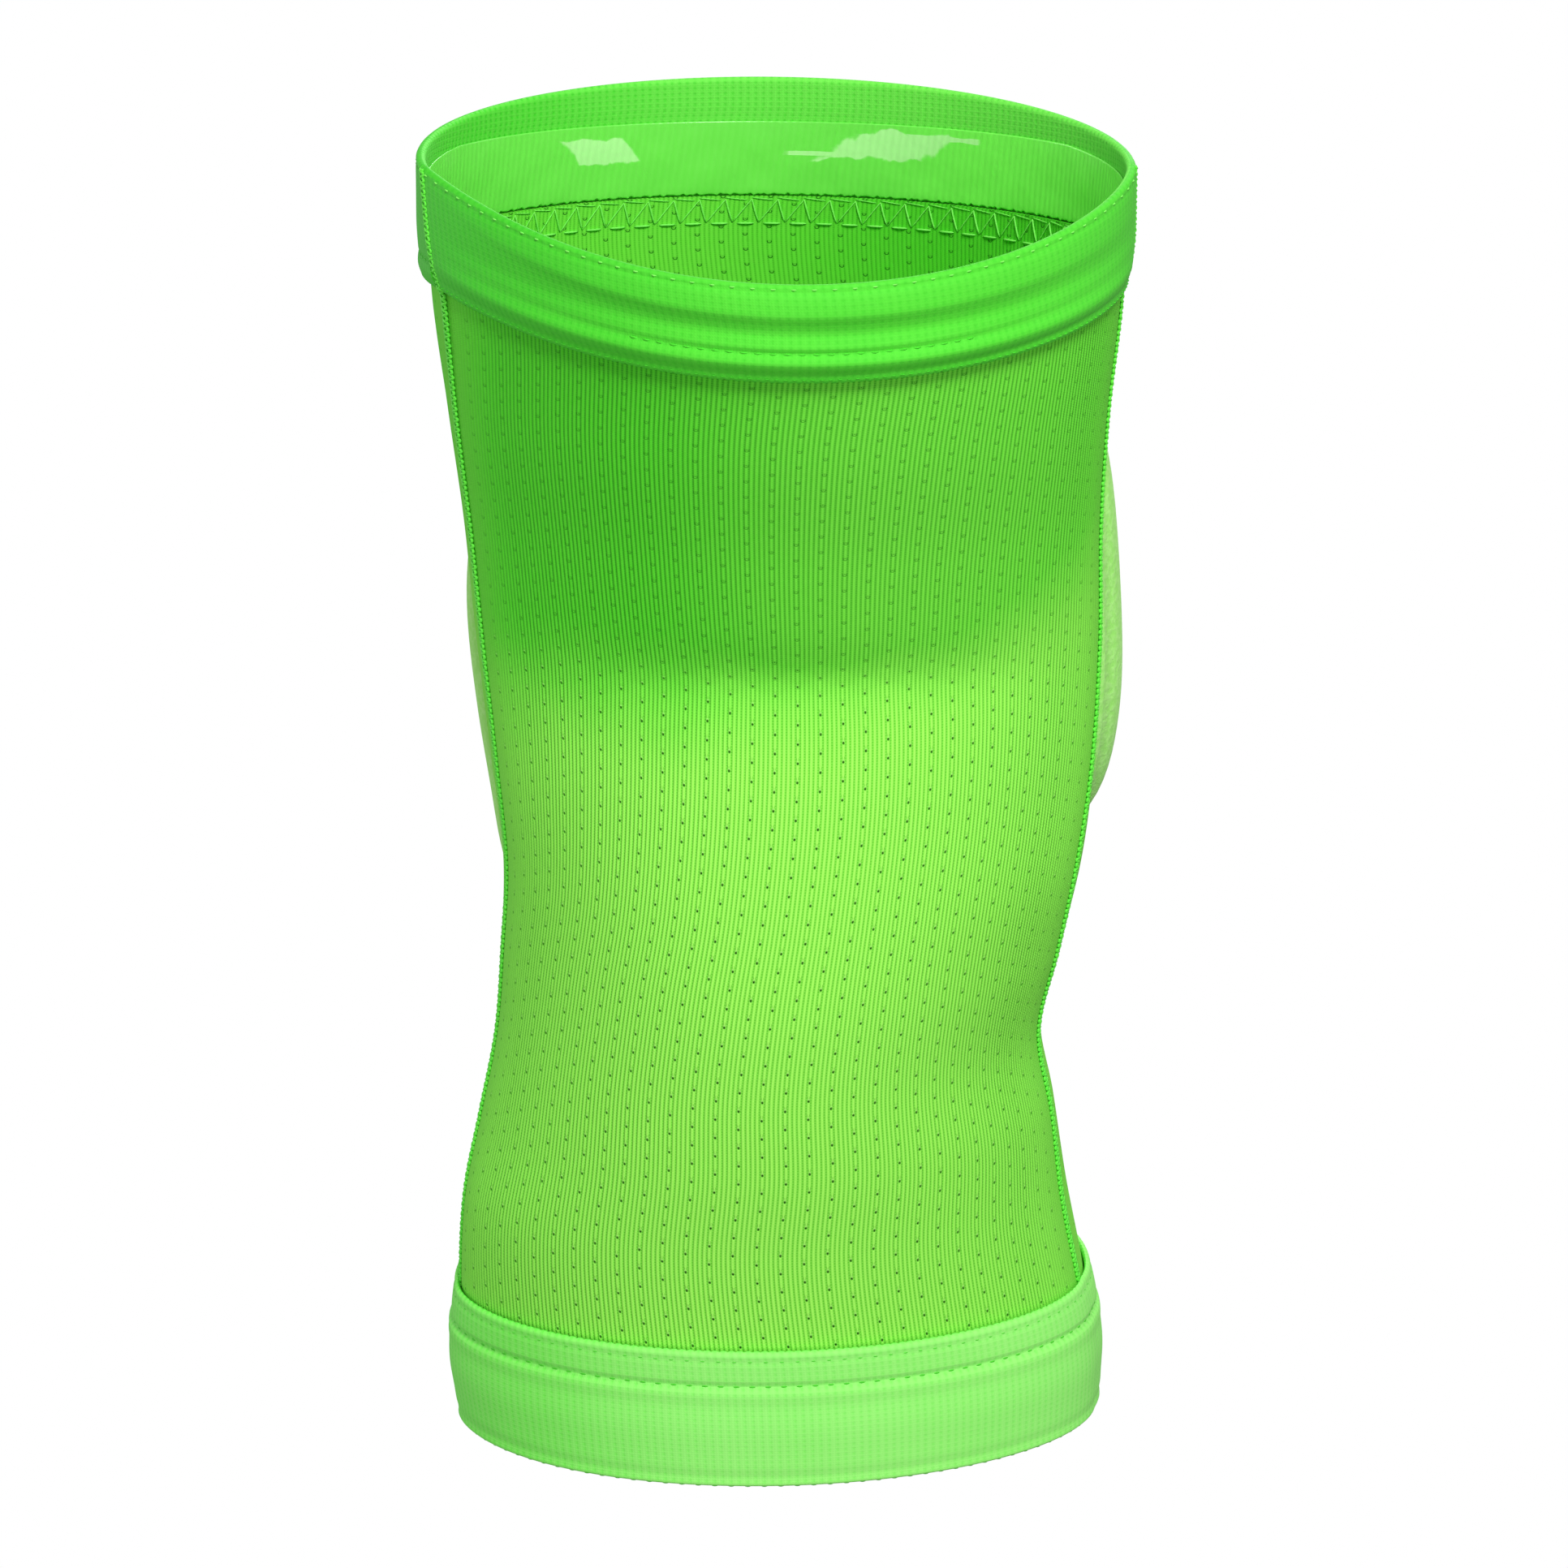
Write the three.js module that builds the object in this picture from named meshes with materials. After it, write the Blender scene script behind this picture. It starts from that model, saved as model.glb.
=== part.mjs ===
// A volleyball knee pad: a knitted sleeve shown in the form it has on a slightly bent leg.
// Origin on the leg's axis, level with the crease behind the knee. +Z runs up the thigh, +Y is the
// kneecap's side, with the pad on it, and -Y is the back of the knee.

import * as THREE from 'three';

const { lerp, smoothstep, degToRad } = THREE.MathUtils;

// Driving dimensions, in millimetres, and angles in degrees
const sleeve = {
  length: 266, // bottom rim to top rim along the side seams
  kneeHeight: 169, // bottom rim to the crease behind the knee
  width: 138, // across the thigh, at the middle of the knit
  depth: 128, // front to back there
  wall: 1.2, // rib knit with pin holes
  backDip: 13.5, // the top rim hangs this much lower behind the thigh
  frontRise: 6, // and stands this much higher in front
};
const crease = { depth: 2.2, reach: 7 }; // the fold of the knit behind the knee
const topBand = { thick: 2, atLeft: 23, atRight: 23, atBack: 19, atFront: 31, lap: 6 };
const bottomBand = { thick: 2, height: 30, lap: 8 };
const bandFold = 1.9; // how far the soft folds of the top band stand out behind the thigh
const grip = { height: 15.5, thick: 0.8 }; // silicone inside the top band
const seam = { width: 2.6, proud: 0.7, inside: 0.35, climb: 2 }; // climb: the rise onto a band
// The pad's top edge falls towards the left by tilt degrees, and its sides turn by lean degrees
const pad = { width: 170, height: 122, thick: 18, edge: 4, drop: 11, shift: 6, tilt: 11, lean: 3 };
const gap = 0.3; // between neighbouring pieces

// Sections of the sleeve, upwards. at is a share of the length, left and right are half widths and skew
// is how far the back leans right of the front, as shares of the width, and back and front are shares
// of the depth. The side seams lie leftSeam and rightSeam degrees behind the widest line. leftFlat and
// rightFlat shape the back towards each seam: 1 is an ellipse, and 2 a parabola with a corner there.
const sections = {
  columns: ['at', 'left', 'right', 'back', 'front', 'skew', 'leftSeam', 'rightSeam', 'leftFlat', 'rightFlat'],
  rows: [
    [0.0, 0.477, 0.48, 0.333, 0.453, -0.034, 10, 8, 1.25, 1.1],
    [0.086, 0.477, 0.472, 0.336, 0.449, -0.034, 9, 8, 1.2, 1.1],
    [0.188, 0.467, 0.436, 0.359, 0.449, -0.03, 9, 9, 1.1, 1.2],
    [0.256, 0.441, 0.416, 0.379, 0.453, -0.022, 8, 8, 1.2, 1.2],
    [0.323, 0.416, 0.394, 0.391, 0.469, -0.015, 8, 9, 1.2, 1.3],
    [0.395, 0.407, 0.425, 0.395, 0.492, -0.007, 10, 13, 1.3, 1.4],
    [0.462, 0.404, 0.452, 0.383, 0.516, 0, 13, 15, 1.3, 1.4],
    [0.541, 0.42, 0.467, 0.355, 0.539, 0.007, 14, 12, 1.3, 1.4],
    [0.635, 0.439, 0.471, 0.316, 0.547, 0.015, 13, 9, 1.3, 1.3],
    [0.726, 0.454, 0.467, 0.352, 0.539, 0.022, 12, 8, 1.4, 1.3],
    [0.816, 0.475, 0.473, 0.41, 0.523, 0.029, 13, 8, 1.5, 1.3],
    [0.902, 0.494, 0.488, 0.449, 0.508, 0.033, 15, 7, 1.7, 1.35],
    [1.0, 0.496, 0.49, 0.457, 0.5, 0.033, 8, 6, 1.8, 1.4],
  ],
};

// Folds of the top band behind the thigh. Each stands out by a share of bandFold, centred at a share of
// the band's height above its foot, and fades over another share of that height.
const folds = [
  { at: 0.2, out: 1.0, reach: 0.13 },
  { at: 0.4, out: 0.35, reach: 0.07 },
  { at: 0.75, out: 0.75, reach: 0.2 },
];

// The pad's crown from its middle to its rim: shares of the half width and of the thickness
const padCrown = [
  { out: 0.3, rise: 0.99 },
  { out: 0.52, rise: 0.955 },
  { out: 0.7, rise: 0.88 },
  { out: 0.84, rise: 0.76 },
  { out: 0.94, rise: 0.57 },
  { out: 0.99, rise: 0.38 },
];
const padSquareness = 3; // the power of the pad's outline: 2 is an ellipse, more is squarer
const padUnderside = 0.985; // how far its flat underside reaches, as a share of the half width
const seamRound = { across: 0.45, low: 0.3, high: 0.7 }; // where the seam's flat faces end, as shares

// Facets
const across = 24; // columns of facets on each half of the sleeve
const panelRows = { back: 28, front: 22 };
const foldRows = 10;
const bandRows = 4;
const gripRows = 4;
const seamRows = 40;
const padSpokes = 48;
const padUnderRings = 9;
const facetSag = 0.35; // how far flat facets cut inside a curved face under the pad

// Materials
const fabric = (color, roughness) => new THREE.MeshStandardMaterial({ color, roughness, metalness: 0 });
const ribKnit = fabric('#5cc832', 0.85);
const elastic = fabric('#62e048', 0.8);
const padCover = fabric('#8ee465', 0.9);
const seamThread = fabric('#46bb2c', 0.8);
const silicone = fabric('#7bef5c', 0.25);

const table = new THREE.CubicInterpolant(
  sections.rows.map((row) => row[0]),
  sections.rows.flatMap((row) => row.slice(1)),
  sections.columns.length - 1,
);

// The section's sizes at a height above the bottom rim, in millimetres
function shapeAt(height) {
  const values = table.evaluate(height / sleeve.length);
  const shape = Object.fromEntries(sections.columns.slice(1).map((name, i) => [name, values[i]]));
  for (const name of ['left', 'right', 'skew']) {
    shape[name] *= sleeve.width;
  }
  for (const name of ['back', 'front']) {
    shape[name] *= sleeve.depth;
  }
  return shape;
}

// A point of the sleeve's outline at an angle: 0 is right, 90 front, 180 left and 270 back.
function outline(shape, degrees) {
  const cos = Math.cos(degToRad(degrees));
  const sin = Math.sin(degToRad(degrees));
  const halfWidth = cos < 0 ? shape.left : shape.right;
  const halfDepth = sin < 0 ? shape.back : shape.front;
  return new THREE.Vector2(halfWidth * cos - shape.skew * sin, halfDepth * sin);
}

// Half of a section, counter-clockwise seen from above: the back from the left seam to the right one,
// or the front from the right seam to the left one.
class HalfSection extends THREE.Curve {
  constructor(half, height) {
    super();
    this.arcLengthDivisions = 72;
    this.half = half;
    this.shape = shapeAt(height);
    this.leftEnd = outline(this.shape, 180 + this.shape.leftSeam);
    this.rightEnd = outline(this.shape, -this.shape.rightSeam);
  }

  getPoint(share, target = new THREE.Vector3()) {
    const { shape, leftEnd, rightEnd } = this;
    if (this.half === 'front') {
      const point = outline(shape, lerp(-shape.rightSeam, 180 + shape.leftSeam, share));
      return target.set(point.x, point.y, 0);
    }
    const side = -Math.cos(Math.PI * share); // -1 at the left seam, 1 at the right one
    const flat = lerp(shape.leftFlat, shape.rightFlat, (1 + side) / 2);
    const bow = Math.sin(Math.PI * share) ** flat; // 0 at the seams, 1 in the middle
    const chord = lerp(leftEnd.y, rightEnd.y, (1 + side) / 2);
    const x = side < 0 ? -side * leftEnd.x : side * rightEnd.x;
    return target.set(x + shape.skew * bow, lerp(chord, -shape.back, bow), 0);
  }
}

// Heights above the bottom rim of the levels that run round the sleeve: at each seam, and in the middle
// of the back and of the front
const level = (left, right, back, front) => ({ left, right, back, front });
const bottomRim = level(0, 0, 0, 0);
const bottomFoot = level(bottomBand.height, bottomBand.height, bottomBand.height, bottomBand.height);
const topRim = level(
  sleeve.length,
  sleeve.length,
  sleeve.length - sleeve.backDip,
  sleeve.length + sleeve.frontRise,
);
const topFoot = level(
  topRim.left - topBand.atLeft,
  topRim.right - topBand.atRight,
  topRim.back - topBand.atBack,
  topRim.front - topBand.atFront,
);

// A level's height at a share of the way along a half
function levelHeight(from, half, share) {
  const start = half === 'back' ? from.left : from.right;
  const finish = half === 'back' ? from.right : from.left;
  return lerp(lerp(start, finish, share), from[half], Math.sin(Math.PI * share));
}

// A point at a distance outside the knit's middle layer. The crease behind the knee is pressed in most
// in the middle, and fades above, below and towards the seams.
function sleevePoint(half, share, height, offset) {
  const section = new HalfSection(half, height);
  const end = (seam.width / 2 + gap) / section.getLength();
  const along = lerp(end, 1 - end, share);
  const point = section.getPointAt(along);
  const tangent = section.getTangentAt(along);
  const z = height - sleeve.kneeHeight;
  const fade = Math.exp(-((z / crease.reach) ** 2)) * Math.sin(Math.PI * share) ** 3;
  const out = offset - (half === 'back' ? crease.depth * fade : 0);
  return [point.x + tangent.y * out, point.y - tangent.x * out, z];
}

// A closed body from points and faces
function body(name, points, triangles, material) {
  const geometry = new THREE.BufferGeometry();
  geometry.setAttribute('position', new THREE.Float32BufferAttribute(points.flat(), 3));
  geometry.setIndex(triangles.flat());
  geometry.computeVertexNormals();
  const mesh = new THREE.Mesh(geometry, material);
  mesh.name = name;
  return mesh;
}

// A thin curved wall: a grid of points on its inner face and one on its outer face, joined round their
// edges. place(share, up, face) gives a point, with face 0 inside and 1 outside.
function wall(name, rows, place, material) {
  const points = [];
  for (const face of [0, 1]) {
    for (let j = 0; j <= rows; j++) {
      for (let i = 0; i <= across; i++) {
        points.push(place(i / across, j / rows, face));
      }
    }
  }
  const at = (i, j, face) => (face * (rows + 1) + j) * (across + 1) + i;
  const triangles = [];
  const quad = (a, b, c, d) => triangles.push([a, b, c], [a, c, d]);
  for (let j = 0; j < rows; j++) {
    for (let i = 0; i < across; i++) {
      quad(at(i, j, 1), at(i + 1, j, 1), at(i + 1, j + 1, 1), at(i, j + 1, 1));
      quad(at(i, j, 0), at(i, j + 1, 0), at(i + 1, j + 1, 0), at(i + 1, j, 0));
    }
    quad(at(0, j, 0), at(0, j, 1), at(0, j + 1, 1), at(0, j + 1, 0));
    quad(at(across, j, 1), at(across, j, 0), at(across, j + 1, 0), at(across, j + 1, 1));
  }
  for (let i = 0; i < across; i++) {
    quad(at(i, 0, 0), at(i + 1, 0, 0), at(i + 1, 0, 1), at(i, 0, 1));
    quad(at(i, rows, 1), at(i + 1, rows, 1), at(i + 1, rows, 0), at(i, rows, 0));
  }
  return body(name, points, triangles, material);
}

const panelFace = sleeve.wall / 2; // from the knit's middle layer to either face
const bandFace = panelFace + gap; // to the inner face of the bands

// A half of the knitted tube. Its ends run on inside the two bands.
function panel(half) {
  const place = (share, up, face) => {
    const low = levelHeight(bottomFoot, half, share) - bottomBand.lap;
    const high = levelHeight(topFoot, half, share) + topBand.lap;
    return sleevePoint(half, share, lerp(low, high, up), face ? panelFace : -panelFace);
  };
  return wall(`${half}_panel`, panelRows[half], place, ribKnit);
}

// How far the top band's folds stand out at a share of its height. They fade towards the seams.
function foldOut(half, share, up) {
  if (half === 'front') {
    return 0;
  }
  const bell = (fold) => fold.out * Math.exp(-(((up - fold.at) / fold.reach) ** 2));
  const total = folds.reduce((sum, fold) => sum + bell(fold), 0);
  return bandFold * total * Math.sin(Math.PI * share);
}

// Half of the elastic band round the thigh, lapped over the end of the knit
function topBandHalf(half) {
  const place = (share, up, face) => {
    const height = lerp(levelHeight(topFoot, half, share), levelHeight(topRim, half, share), up);
    const offset = bandFace + (face ? topBand.thick : 0) + foldOut(half, share, up);
    return sleevePoint(half, share, height, offset);
  };
  return wall(`top_band_${half}`, half === 'back' ? foldRows : bandRows, place, elastic);
}

// Half of the elastic band round the calf
function bottomBandHalf(half) {
  const place = (share, up, face) => {
    const height = lerp(levelHeight(bottomRim, half, share), levelHeight(bottomFoot, half, share), up);
    return sleevePoint(half, share, height, bandFace + (face ? bottomBand.thick : 0));
  };
  return wall(`bottom_band_${half}`, bandRows, place, elastic);
}

// Half of the silicone strip inside the top band, just above the end of the knit. Where the band is
// pushed down and shorter, the strip is squeezed with it.
function gripStrip(half) {
  const mostOfRoom = 0.75;
  const place = (share, up, face) => {
    const foot = levelHeight(topFoot, half, share);
    const bandHeight = levelHeight(topRim, half, share) - foot;
    const low = topBand.lap + gap;
    const above = low + up * Math.min(grip.height, mostOfRoom * (bandHeight - low));
    const out = panelFace - (face ? 0 : grip.thick) + foldOut(half, share, above / bandHeight);
    return sleevePoint(half, share, foot + above, out);
  };
  return wall(`grip_strip_${half}`, gripRows, place, silicone);
}

// A side seam: an eight-sided strip that fills the slot between the two halves from rim to rim. It
// stands proud of the knit, and of the bands where it crosses them.
function sideSeam(side) {
  const footHeight = topFoot[side];
  const halfWidth = seam.width / 2;
  const flat = seamRound.across * halfWidth;
  const inner = -panelFace - seam.inside;
  const points = [];
  for (let j = 0; j <= seamRows; j++) {
    const height = (sleeve.length * j) / seamRows;
    const backHalf = new HalfSection('back', height);
    const frontHalf = new HalfSection('front', height);
    const end = side === 'left' ? 0 : 1;
    const middle = backHalf.getPointAt(end);
    const tangent = backHalf.getTangentAt(end).add(frontHalf.getTangentAt(1 - end)).normalize();
    const onTop = (gap + topBand.thick) * smoothstep(height, footHeight - seam.climb, footHeight);
    const pastBottom = smoothstep(height, bottomBand.height, bottomBand.height + seam.climb);
    const onBottom = (gap + bottomBand.thick) * (1 - pastBottom);
    const outer = panelFace + seam.proud + onTop + onBottom;
    const low = lerp(inner, outer, seamRound.low);
    const high = lerp(inner, outer, seamRound.high);
    const profile = [
      [-flat, outer],
      [-halfWidth, high],
      [-halfWidth, low],
      [-flat, inner],
      [flat, inner],
      [halfWidth, low],
      [halfWidth, high],
      [flat, outer],
    ];
    for (const [along, out] of profile) {
      const x = middle.x + tangent.x * along + tangent.y * out;
      const y = middle.y + tangent.y * along - tangent.x * out;
      points.push([x, y, height - sleeve.kneeHeight]);
    }
  }
  const sides = points.length / (seamRows + 1);
  const top = seamRows * sides;
  const triangles = [];
  for (let j = 0; j < seamRows; j++) {
    for (let k = 0; k < sides; k++) {
      const a = j * sides + k;
      const b = j * sides + ((k + 1) % sides);
      triangles.push([a, a + sides, b], [b, a + sides, b + sides]);
    }
  }
  for (let k = 1; k < sides - 1; k++) {
    triangles.push([0, k, k + 1], [top, top + k + 1, top + k]);
  }
  return body(`side_seam_${side}`, points, triangles, seamThread);
}

// The pad lies on the front of the knit. Rings of points run from the middle of its outer face over the
// crown to the rim, and back along its underside.
function kneePad() {
  const rest = panelFace + gap + facetSag;
  const rings = [
    ...padCrown.map(({ out, rise }) => [out, rest + pad.thick * rise]),
    [1, rest + pad.edge / 2],
  ];
  for (let k = padUnderRings; k > 0; k--) {
    rings.push([(padUnderside * k) / padUnderRings, rest]);
  }
  const tilt = degToRad(pad.tilt);
  const lean = degToRad(pad.lean);
  const place = (out, offset, angle) => {
    const cos = Math.cos(angle);
    const sin = Math.sin(angle);
    const power = Math.abs(cos) ** padSquareness + Math.abs(sin) ** padSquareness;
    const reach = out / power ** (1 / padSquareness); // to the outline in that direction
    const sideways = (reach * cos * pad.width) / 2; // towards the left seam
    const upwards = (reach * sin * pad.height) / 2;
    const height = sleeve.kneeHeight - pad.drop + upwards * Math.cos(lean) - sideways * Math.sin(tilt);
    const along = sideways * Math.cos(tilt) + upwards * Math.sin(lean) - pad.shift;
    const girth = new HalfSection('front', height).getLength();
    return sleevePoint('front', 0.5 + along / girth, height, offset);
  };
  const points = [place(0, rest + pad.thick, 0)];
  for (const [out, offset] of rings) {
    for (let k = 0; k < padSpokes; k++) {
      points.push(place(out, offset, (2 * Math.PI * k) / padSpokes));
    }
  }
  points.push(place(0, rest, 0));
  const at = (ring, k) => 1 + ring * padSpokes + (k % padSpokes);
  const last = points.length - 1;
  const triangles = [];
  for (let k = 0; k < padSpokes; k++) {
    triangles.push([0, at(0, k), at(0, k + 1)]);
    for (let ring = 0; ring < rings.length - 1; ring++) {
      triangles.push([at(ring, k), at(ring + 1, k), at(ring + 1, k + 1)]);
      triangles.push([at(ring, k), at(ring + 1, k + 1), at(ring, k + 1)]);
    }
    triangles.push([last, at(rings.length - 1, k + 1), at(rings.length - 1, k)]);
  }
  return body('knee_pad', points, triangles, padCover);
}

const kneeSleeve = new THREE.Group();
for (const half of ['back', 'front']) {
  kneeSleeve.add(panel(half), topBandHalf(half), bottomBandHalf(half), gripStrip(half));
}
kneeSleeve.add(sideSeam('left'), sideSeam('right'), kneePad());

export default kneeSleeve;
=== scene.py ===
import math

import bpy
import numpy as np
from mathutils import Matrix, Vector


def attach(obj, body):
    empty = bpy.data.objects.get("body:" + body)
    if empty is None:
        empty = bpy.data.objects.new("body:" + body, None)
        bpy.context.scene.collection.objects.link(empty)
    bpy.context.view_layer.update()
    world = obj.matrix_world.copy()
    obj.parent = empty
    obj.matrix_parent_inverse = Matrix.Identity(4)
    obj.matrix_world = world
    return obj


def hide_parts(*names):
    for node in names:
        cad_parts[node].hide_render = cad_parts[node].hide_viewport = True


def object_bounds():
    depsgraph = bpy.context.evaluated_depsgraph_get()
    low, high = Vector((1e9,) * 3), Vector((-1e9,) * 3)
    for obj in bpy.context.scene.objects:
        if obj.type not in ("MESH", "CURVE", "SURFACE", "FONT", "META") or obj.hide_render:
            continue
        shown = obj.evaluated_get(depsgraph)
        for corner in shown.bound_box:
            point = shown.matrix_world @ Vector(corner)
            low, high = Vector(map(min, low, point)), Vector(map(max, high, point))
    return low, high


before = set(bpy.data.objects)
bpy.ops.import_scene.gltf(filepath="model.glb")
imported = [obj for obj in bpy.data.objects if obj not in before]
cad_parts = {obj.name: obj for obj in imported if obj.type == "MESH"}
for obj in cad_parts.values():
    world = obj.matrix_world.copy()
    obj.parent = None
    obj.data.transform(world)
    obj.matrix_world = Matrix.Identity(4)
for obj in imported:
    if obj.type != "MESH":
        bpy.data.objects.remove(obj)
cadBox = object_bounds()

mm = 0.001
pi = math.pi

# The sleeve's form. These are the same sizes and formulas as the solids' own, in millimetres.
sleeve = {"length": 266, "kneeHeight": 169, "width": 138, "depth": 128, "wall": 1.2, "backDip": 13.5,
          "frontRise": 6}
crease = {"depth": 2.2, "reach": 7}
corner = {"depth": 1.0, "low": -2, "high": 20, "backReach": 0.14, "frontReach": 0.12}
thighBand = {"thick": 2.0, "lap": 6, "sideTaper": 1.3, "ribs": 1.65, "foot": "topFoot", "rim": "topRim",
             "rows": 54, "toothedEdge": "foot", "taperShare": 0.5}
calfBand = {"thick": 2.0, "lap": 8, "sideTaper": 1.0, "ribs": 1.65, "foot": "bottomRim", "rim": "bottomFoot",
            "rows": 46, "toothedEdge": "rim", "taperTall": 12}
calfTall = 30
seam = {"width": 2.5, "proud": 0.15, "inside": 0.35, "climb": 1.5, "slit": 0.1, "sunk": 0.3, "taperTall": 11}
gap = 0.3
knitFace = sleeve["wall"] / 2
bandFace = knitFace + gap

# Each section: share of the length; half widths left and right and skew as shares of the width; back and
# front as shares of the depth; degrees of each side seam behind the widest line; flatness at each seam
sectionColumns = ["left", "right", "back", "front", "skew", "leftSeam", "rightSeam", "leftFlat", "rightFlat"]
sectionRows = np.array([
    [0.0, 0.477, 0.48, 0.333, 0.453, -0.034, 10, 8, 1.25, 1.1],
    [0.086, 0.477, 0.472, 0.336, 0.449, -0.034, 9, 8, 1.2, 1.1],
    [0.188, 0.467, 0.436, 0.359, 0.449, -0.03, 9, 9, 1.1, 1.2],
    [0.256, 0.441, 0.416, 0.379, 0.453, -0.022, 8, 8, 1.2, 1.2],
    [0.323, 0.416, 0.394, 0.391, 0.469, -0.015, 8, 9, 1.2, 1.3],
    [0.395, 0.407, 0.425, 0.395, 0.492, -0.007, 10, 13, 1.3, 1.4],
    [0.462, 0.404, 0.452, 0.383, 0.516, 0, 13, 15, 1.3, 1.4],
    [0.541, 0.42, 0.467, 0.355, 0.539, 0.007, 14, 12, 1.3, 1.4],
    [0.635, 0.439, 0.471, 0.316, 0.547, 0.015, 13, 9, 1.3, 1.3],
    [0.726, 0.454, 0.467, 0.352, 0.539, 0.022, 12, 8, 1.4, 1.3],
    [0.816, 0.475, 0.473, 0.41, 0.523, 0.029, 13, 8, 1.5, 1.3],
    [0.902, 0.494, 0.488, 0.449, 0.508, 0.033, 15, 7, 1.7, 1.35],
    [1.0, 0.496, 0.49, 0.457, 0.5, 0.033, 8, 6, 1.8, 1.4],
])

# Heights above the bottom rim of what runs round the sleeve: left seam, right seam, mid back, mid front
rimHeight = sleeve["length"]
levels = {
    "bottomRim": (0, 0, 0, 0),
    "bottomFoot": (calfTall, calfTall, calfTall, calfTall),
    "topRim": (rimHeight, rimHeight, rimHeight - sleeve["backDip"], rimHeight + sleeve["frontRise"]),
    "topFoot": (243, 243, 233.5, 241),
}


def lerp(a, b, t):
    return a + (b - a) * t


def smooth(x, low, high):  # 0 at low, 1 at high, level at both ends
    t = np.clip((x - low) / (high - low), 0, 1)
    return t * t * (3 - 2 * t)


def bell(x, at, reach):  # 1 in its middle, falling away to both sides
    return np.exp(-((x - at) / reach) ** 2)


def tableAt(at, rows):  # cubic through the rows, sloping at each by the mean of the chords beside it
    knots = rows[:, 0]
    values = rows[:, 1:]
    at = np.clip(at, knots[0], knots[-1])
    steps = np.diff(knots)[:, None]
    chord = np.diff(values, axis=0) / steps
    slope = np.vstack([chord[:1], (chord[1:] + chord[:-1]) / 2, chord[-1:]])
    k = np.clip(np.searchsorted(knots, at, side="right") - 1, 0, len(knots) - 2)
    span = steps[k]
    p = (at - knots[k])[:, None] / span
    start = (1 + 2 * p) * (1 - p) ** 2 * values[k] + p * (1 - p) ** 2 * span * slope[k]
    return start + p * p * (3 - 2 * p) * values[k + 1] + p * p * (p - 1) * span * slope[k + 1]


formSteps = 240
formHeights = np.arange(sleeve["length"] + sleeve["frontRise"] + 1)


def halfForm(half):
    # Front: an ellipse from the right seam to the left one, with its own half width on each side. Back: the
    # chord between the seams bowed out by a power of a sine. Both are then spaced evenly by length.
    values = tableAt(formHeights / sleeve["length"], sectionRows)
    shape = {name: values[:, k:k + 1] for k, name in enumerate(sectionColumns)}
    for name in ("left", "right", "skew"):
        shape[name] = shape[name] * sleeve["width"]
    for name in ("back", "front"):
        shape[name] = shape[name] * sleeve["depth"]

    def outline(degrees):
        cos = np.cos(np.radians(degrees))
        sin = np.sin(np.radians(degrees))
        wide = np.where(cos < 0, shape["left"], shape["right"])
        grooveShade = np.where(sin < 0, shape["back"], shape["front"])
        return wide * cos - shape["skew"] * sin, grooveShade * sin

    share = np.linspace(0, 1, 3 * formSteps + 1)[None, :]
    if half == "front":
        x, y = outline(lerp(-shape["rightSeam"], 180 + shape["leftSeam"], share))
    else:
        leftX, leftY = outline(180 + shape["leftSeam"])
        rightX, rightY = outline(-shape["rightSeam"])
        side = -np.cos(pi * share)
        bow = np.sin(pi * share) ** lerp(shape["leftFlat"], shape["rightFlat"], (1 + side) / 2)
        x = np.where(side < 0, -side * leftX, side * rightX) + shape["skew"] * bow
        y = lerp(lerp(leftY, rightY, (1 + side) / 2), -shape["back"], bow)
    run = np.cumsum(np.hypot(np.diff(x, axis=1), np.diff(y, axis=1)), axis=1)
    run = np.hstack([np.zeros((len(run), 1)), run])
    even = np.linspace(0, 1, formSteps + 1)
    lines = []
    for k in range(len(run)):
        along = even * run[k, -1]
        lines.append(np.stack([np.interp(along, run[k], x[k]), np.interp(along, run[k], y[k])], axis=1))
    points = np.array(lines)
    tangents = np.gradient(points, axis=1)
    tangents /= np.linalg.norm(tangents, axis=2, keepdims=True)
    return {"girth": run[:, -1], "grid": np.concatenate([points, tangents], axis=2)}


form = {"back": halfForm("back"), "front": halfForm("front")}


def formAt(half, along, height):  # the knit's middle layer: x, y and the direction along it
    grid = form[half]["grid"]
    row = np.clip(height, 0, len(grid) - 1.001)
    column = np.clip(along * formSteps, 0, formSteps - 0.001)
    r = row.astype(int)
    c = column.astype(int)
    fr = (row - r)[..., None]
    fc = (column - c)[..., None]
    low = lerp(grid[r, c], grid[r, c + 1], fc)
    high = lerp(grid[r + 1, c], grid[r + 1, c + 1], fc)
    return lerp(low, high, fr)


def girthAt(half, height):
    return np.interp(height, formHeights, form[half]["girth"])


def levelHeight(name, half, share):
    left, right, back, front = levels[name]
    start, finish, middle = (left, right, back) if half == "back" else (right, left, front)
    return lerp(lerp(start, finish, share), middle, np.sin(pi * share))


def pressedIn(half, share, height):
    # The crease behind the knee, and the calf band's lower left corner, which is drawn in
    fromLeft = share if half == "back" else 1 - share
    reach = corner["backReach"] if half == "back" else corner["frontReach"]
    low = 1 - smooth(height, corner["low"], corner["high"])
    total = corner["depth"] * low * bell(fromLeft, 0, reach)
    if half == "back":
        z = height - sleeve["kneeHeight"]
        total = total + crease["depth"] * bell(z, 0, crease["reach"]) * np.sin(pi * share) ** 3
    return total


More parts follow.
